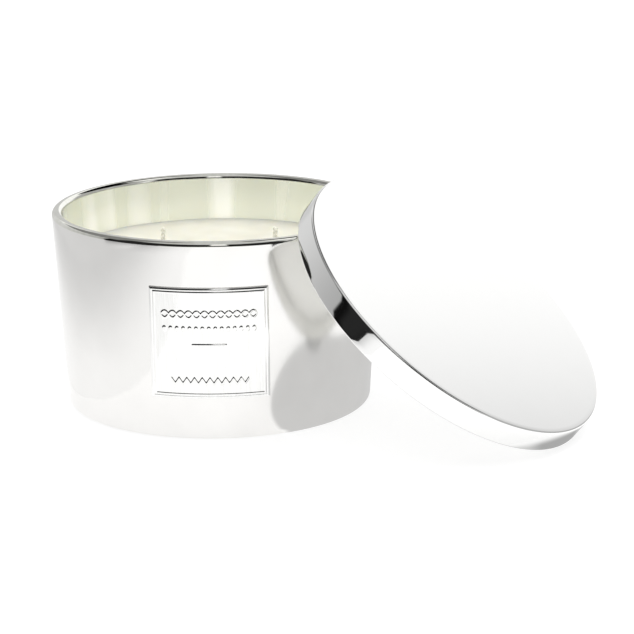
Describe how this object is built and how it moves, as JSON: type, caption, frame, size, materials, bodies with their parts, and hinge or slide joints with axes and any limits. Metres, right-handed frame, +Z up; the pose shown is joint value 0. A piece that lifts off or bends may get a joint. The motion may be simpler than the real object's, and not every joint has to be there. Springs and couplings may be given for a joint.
{
  "type": "three-wick jar candle with lid",
  "caption": "Round thick-walled plated glass candle with wax and wicks, a blank embossed front plate and a pressed metal lid leaning on its rim.",
  "frame": {"origin": "centre of the jar's base, on the surface it stands on", "axes": "+Z up along the jar's axis; the front plate faces -Y; the lid leans out towards +X and a little towards -Y"},
  "size_m": [0.2467, 0.1997, 0.1071],
  "materials": {
    "jar_glass": "glass plated silver: satin outside, polished rim, mirror inside",
    "wax": "cream candle wax, smooth",
    "wick_cotton": "braided cotton, waxed",
    "tab_steel": "tinned sheet steel",
    "tab_adhesive": "double-sided adhesive foam",
    "plate_metal": "polished embossed sheet",
    "tape": "double-sided tape",
    "label_paper": "blank coated paper",
    "lid_metal": "mirror-polished plated sheet",
    "liner_foam": "closed-cell foam sheet"
  },
  "bodies": {
    "jar": {"jar": "jar_glass", "wax_fill": "wax", "wick_left": "wick_cotton", "wick_right": "wick_cotton", "wick_front": "wick_cotton", "wick_tab_left": "tab_steel", "wick_tab_right": "tab_steel", "wick_tab_front": "tab_steel", "tab_sticker_left": "tab_adhesive", "tab_sticker_right": "tab_adhesive", "tab_sticker_front": "tab_adhesive", "front_plate": "plate_metal", "front_plate_tape": "tape", "base_label": "label_paper"},
    "lid": {"lid_shell": "lid_metal", "lid_liner": "liner_foam", "lid_liner_tape": "tape"}
  },
  "joints": [
    {"name": "lid_lift", "type": "slide", "parent": "jar", "child": "lid", "axis": [0, 0, 1], "range_m": [0, 0.12]}
  ]
}
